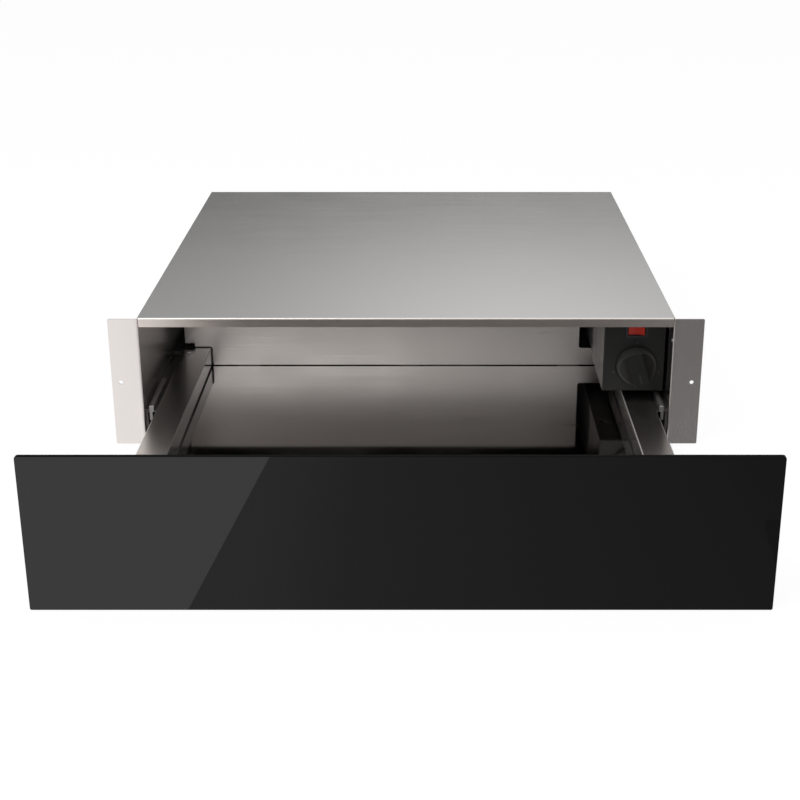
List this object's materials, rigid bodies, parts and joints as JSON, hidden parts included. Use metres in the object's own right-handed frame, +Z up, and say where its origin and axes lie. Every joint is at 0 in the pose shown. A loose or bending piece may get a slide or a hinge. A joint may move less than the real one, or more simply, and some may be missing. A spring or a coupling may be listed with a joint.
{
  "type": "built in warming drawer",
  "caption": "Built in warming drawer: steel casing with niche flanges, sliding drawer with handleless black glass front, dial and rocker on a side control housing, heater under the floor.",
  "frame": {"origin": "centre of the casing's underside, on the niche shelf", "axes": "+X to the right seen from the front, +Y back into the niche, +Z up"},
  "size_m": [0.595, 0.859, 0.1365],
  "materials": {
    "case_steel": "brushed",
    "top_steel": "brushed, satin",
    "drawer_steel": "satin",
    "polished_steel": "mirror polished",
    "carrier_steel": "black powder coat",
    "zinc_steel": "zinc plated",
    "screw_steel": "plated",
    "ball_steel": "polished",
    "copper": "drawn copper",
    "reflector_aluminium": "bright",
    "element_steel": "heat darkened sheath",
    "black_glass": "gloss, printed black behind",
    "black_plastic": "fine moulded grain",
    "fascia_plastic": "fine moulded grain",
    "knob_plastic": "satin",
    "grey_plastic": "satin",
    "red_plastic": "translucent gloss",
    "rubber": "matt",
    "ceramic": "glazed",
    "mark_print": "printed"
  },
  "bodies": {
    "casing": {"case_floor": "case_steel", "case_left_side": "case_steel", "case_right_side": "case_steel", "case_top": "top_steel", "top_ears": "zinc_steel", "case_back": "zinc_steel", "cable_gland": "black_plastic", "case_screws": "screw_steel", "side_rivet": "screw_steel", "rail_screws": "screw_steel", "open_stops": "zinc_steel", "stop_pads": "rubber", "control_housing": "black_plastic", "housing_screws": "screw_steel", "control_fascia": "fascia_plastic", "switch_frame": "black_plastic", "switch_body": "black_plastic", "thermostat": "zinc_steel", "thermostat_bulb": "copper", "wiring_duct": "black_plastic", "heat_reflector": "reflector_aluminium", "heating_element": "element_steel", "element_clips": "zinc_steel", "element_ends": "ceramic", "thermal_cutout": "zinc_steel", "fan_frame": "black_plastic", "fan_motor": "zinc_steel", "latch_housing": "black_plastic", "terminal_block": "ceramic", "left_outer_rail": "zinc_steel", "right_outer_rail": "zinc_steel", "left_drawer_guide": "zinc_steel", "right_drawer_guide": "zinc_steel"},
    "drawer": {"drawer_floor": "polished_steel", "drawer_left_side": "drawer_steel", "drawer_right_side": "drawer_steel", "drawer_back": "drawer_steel", "front_carrier": "carrier_steel", "glass_glue": "rubber", "glass_front": "black_glass", "front_buffers": "rubber", "carrier_brackets": "zinc_steel", "back_brackets": "zinc_steel", "drawer_screws": "screw_steel", "latch_striker": "zinc_steel", "stop_lugs": "zinc_steel", "left_inner_rail": "zinc_steel", "right_inner_rail": "zinc_steel"},
    "left_cage": {"left_ball_cage": "zinc_steel", "left_balls": "ball_steel"},
    "right_cage": {"right_ball_cage": "zinc_steel", "right_balls": "ball_steel"},
    "dial": {"dial_knob": "knob_plastic", "knob_pointer": "mark_print"},
    "power_rocker": {"rocker": "red_plastic"},
    "fan_wheel": {"fan_rotor": "black_plastic"},
    "touch_plunger": {"latch_plunger": "grey_plastic"}
  },
  "joints": [
    {"name": "drawer_slide", "type": "slide", "parent": "casing", "child": "drawer", "axis": [0, 1, 0], "range_m": [0, 0.304]},
    {"name": "left_cage_roll", "type": "slide", "parent": "casing", "child": "left_cage", "axis": [0, 1, 0], "range_m": [0, 0.152]},
    {"name": "right_cage_roll", "type": "slide", "parent": "casing", "child": "right_cage", "axis": [0, 1, 0], "range_m": [0, 0.152]},
    {"name": "dial_turn", "type": "hinge", "parent": "casing", "child": "dial", "pos_m": [0.234, -0.2285, 0.0745], "axis": [0, 1, 0], "range_deg": [-163, 107]},
    {"name": "rocker_tip", "type": "hinge", "parent": "casing", "child": "power_rocker", "pos_m": [0.23285, -0.2265, 0.113], "axis": [0, 0, 1], "range_deg": [0, 10]},
    {"name": "fan_spin", "type": "hinge", "parent": "casing", "child": "fan_wheel", "pos_m": [-0.12, 0.25, 0.066], "axis": [0, 1, 0], "continuous": true},
    {"name": "latch_press", "type": "slide", "parent": "casing", "child": "touch_plunger", "axis": [0, 1, 0], "range_m": [0, 0.004], "stiffness_N_per_m": 300, "springref_m": -0.003}
  ],
  "couplings": [
    {"joint": "left_cage_roll", "follows": "drawer_slide", "ratio": 0.5},
    {"joint": "right_cage_roll", "follows": "drawer_slide", "ratio": 0.5}
  ]
}
